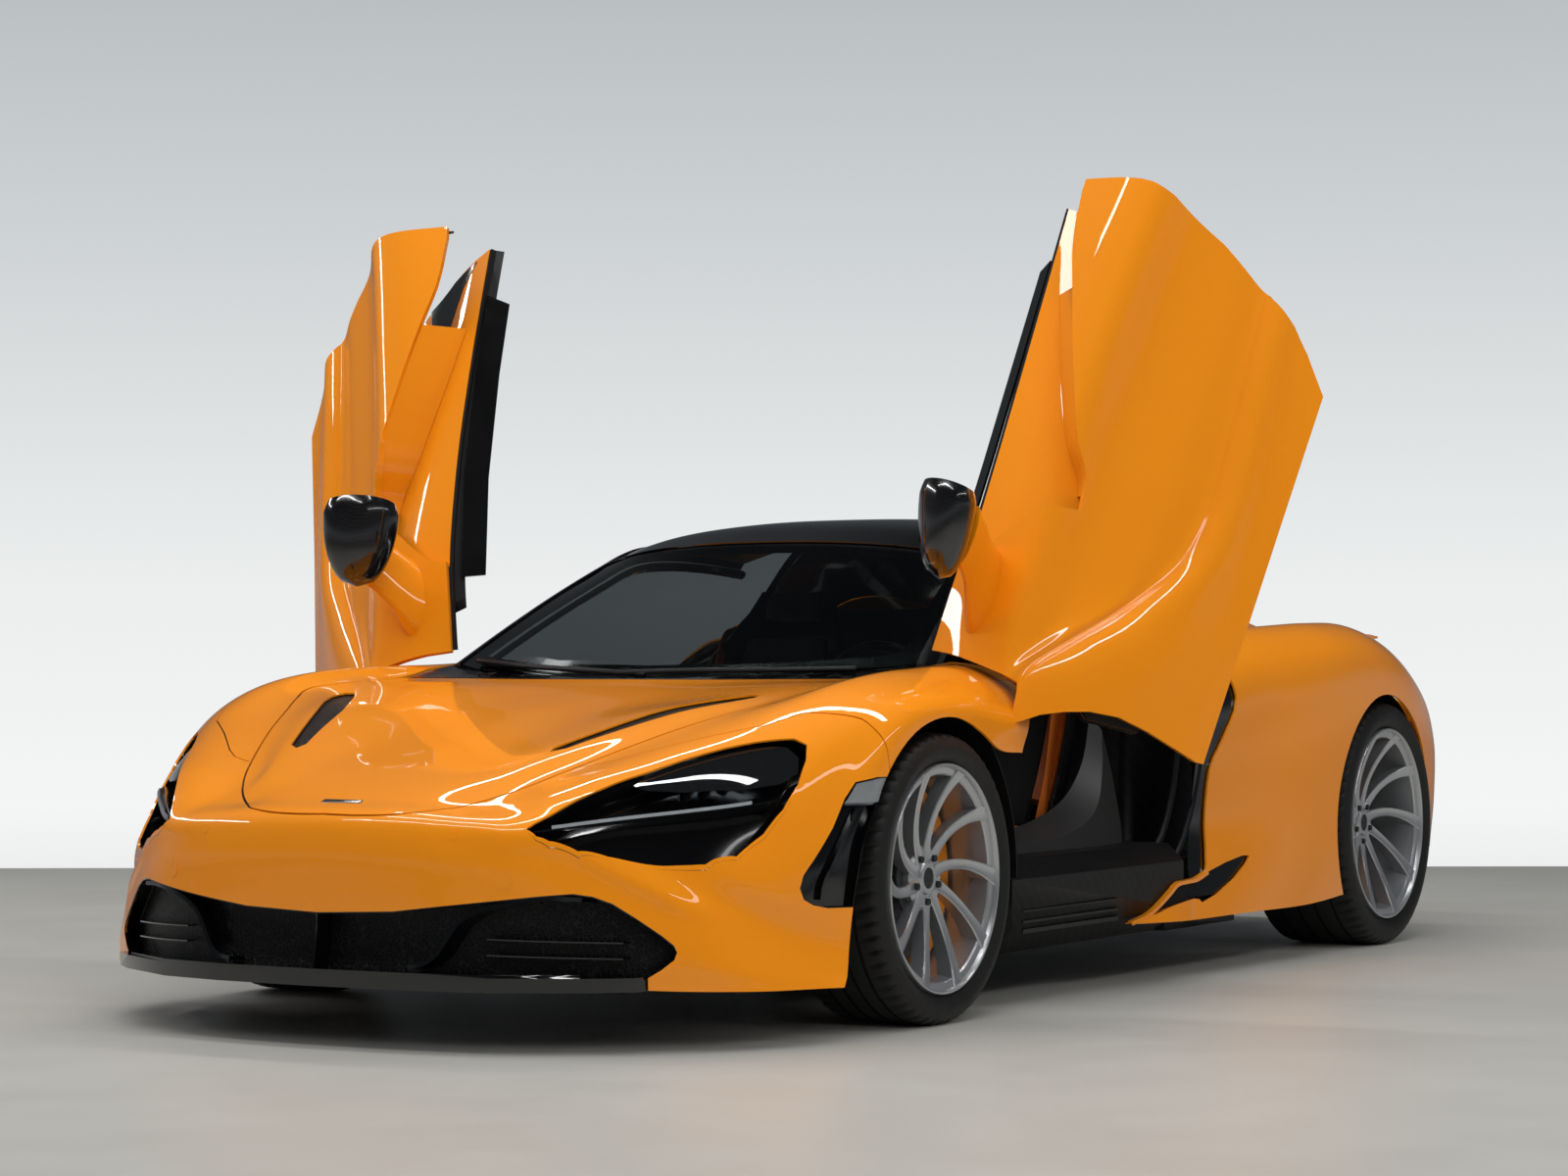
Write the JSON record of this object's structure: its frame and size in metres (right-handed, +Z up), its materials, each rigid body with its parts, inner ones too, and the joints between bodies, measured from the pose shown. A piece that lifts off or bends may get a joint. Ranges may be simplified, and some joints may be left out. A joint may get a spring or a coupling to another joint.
{
  "type": "two-seat mid-engined sports car with upward-swinging doors",
  "caption": "Low two-seat mid-engined sports car with doors swung up and forward, steering front wheels and an opening front lid.",
  "frame": {"origin": "on the floor, midway between nose and tail on the middle plane", "axes": "+Z up, -Y to the front, +X to the left-hand side of the car"},
  "size_m": [3.01, 4.5437, 1.9767],
  "materials": {
    "black_plastic": "satin black",
    "body_paint": "gloss orange paint under clear coat",
    "caliper_paint": "gloss orange",
    "carbon": "dark carbon fibre composite",
    "dark_metal": "dark satin",
    "disc_ceramic": "dark grey, machined",
    "exhaust_steel": "satin",
    "gloss_black": "gloss black",
    "lamp_glass": "clear moulded lens",
    "seat_leather": "black suede and leather",
    "tail_lamp_lens": "red lens",
    "tyre_rubber": "satin black rubber",
    "wheel_alloy": "bright silver",
    "windscreen_glass": "clear, slightly grey"
  },
  "bodies": {
    "car_body": {"arch_liners": "black_plastic", "centre_console": "black_plastic", "cowl": "gloss_black", "dashboard": "black_plastic", "diffuser": "gloss_black", "engine": "dark_metal", "exhausts": "exhaust_steel", "front_bumper": "body_paint", "front_fenders": "body_paint", "front_frame": "dark_metal", "front_intakes": "gloss_black", "front_splitter": "gloss_black", "front_trunk": "black_plastic", "front_wishbones": "dark_metal", "headlamps": "gloss_black", "rear_bumper": "body_paint", "rear_calipers": "caliper_paint", "rear_deck": "body_paint", "rear_frame": "dark_metal", "rear_quarters": "body_paint", "rear_uprights": "dark_metal", "rear_wing": "body_paint", "rear_wishbones": "dark_metal", "roof": "gloss_black", "screen_frame": "gloss_black", "seats": "seat_leather", "side_lamps": "lamp_glass", "side_vents": "gloss_black", "tail_lamps": "tail_lamp_lens", "tub": "carbon", "undertray": "black_plastic", "windscreen": "windscreen_glass"},
    "bonnet": {"bonnet": "body_paint"},
    "door_left": {"door_left_card": "black_plastic", "door_left_mirror": "gloss_black", "door_left_skin": "body_paint"},
    "door_right": {"door_right_card": "black_plastic", "door_right_mirror": "gloss_black", "door_right_skin": "body_paint"},
    "knuckle_left": {"front_left_knuckle": "dark_metal", "front_left_caliper": "caliper_paint"},
    "knuckle_right": {"front_right_knuckle": "dark_metal", "front_right_caliper": "caliper_paint"},
    "steering_wheel": {"steering_wheel": "black_plastic"},
    "wheel_front_left": {"front_left_tyre": "tyre_rubber", "front_left_rim": "wheel_alloy", "front_left_disc": "disc_ceramic"},
    "wheel_front_right": {"front_right_tyre": "tyre_rubber", "front_right_rim": "wheel_alloy", "front_right_disc": "disc_ceramic"},
    "wheel_rear_left": {"rear_left_tyre": "tyre_rubber", "rear_left_rim": "wheel_alloy", "rear_left_disc": "disc_ceramic"},
    "wheel_rear_right": {"rear_right_tyre": "tyre_rubber", "rear_right_rim": "wheel_alloy", "rear_right_disc": "disc_ceramic"}
  },
  "joints": [
    {"name": "bonnet_hinge", "type": "hinge", "parent": "car_body", "child": "bonnet", "pos_m": [0, -1.0365, 0.766], "axis": [-1, 0, 0], "range_deg": [0, 55]},
    {"name": "door_left_hinge", "type": "hinge", "parent": "car_body", "child": "door_left", "pos_m": [0.9978, -0.8813, 0.6], "axis": [-0.7533, 0.4339, 0.4943], "range_deg": [0, 83]},
    {"name": "door_right_hinge", "type": "hinge", "parent": "car_body", "child": "door_right", "pos_m": [-0.9978, -0.8813, 0.6], "axis": [-0.7533, -0.4339, -0.4943], "range_deg": [0, 83]},
    {"name": "steer_left", "type": "hinge", "parent": "car_body", "child": "knuckle_left", "pos_m": [0.76, -1.185, 0.327], "axis": [0, 0, 1], "range_deg": [-33, 33]},
    {"name": "steer_right", "type": "hinge", "parent": "car_body", "child": "knuckle_right", "pos_m": [-0.76, -1.185, 0.327], "axis": [0, 0, 1], "range_deg": [-33, 33]},
    {"name": "steering_wheel_turn", "type": "hinge", "parent": "car_body", "child": "steering_wheel", "pos_m": [0.365, -0.395, 0.69], "axis": [0, 0.9397, 0.3419], "range_deg": [-480, 480]},
    {"name": "spin_front_left", "type": "hinge", "parent": "knuckle_left", "child": "wheel_front_left", "pos_m": [0.837, -1.185, 0.327], "axis": [1, 0, 0], "continuous": true},
    {"name": "spin_front_right", "type": "hinge", "parent": "knuckle_right", "child": "wheel_front_right", "pos_m": [-0.837, -1.185, 0.327], "axis": [1, 0, 0], "continuous": true},
    {"name": "spin_rear_left", "type": "hinge", "parent": "car_body", "child": "wheel_rear_left", "pos_m": [0.8145, 1.485, 0.3455], "axis": [1, 0, 0], "continuous": true},
    {"name": "spin_rear_right", "type": "hinge", "parent": "car_body", "child": "wheel_rear_right", "pos_m": [-0.8145, 1.485, 0.3455], "axis": [1, 0, 0], "continuous": true}
  ],
  "couplings": [
    {"joint": "steer_right", "follows": "steer_left", "ratio": 1},
    {"joint": "steering_wheel_turn", "follows": "steer_left", "ratio": 14.5}
  ]
}
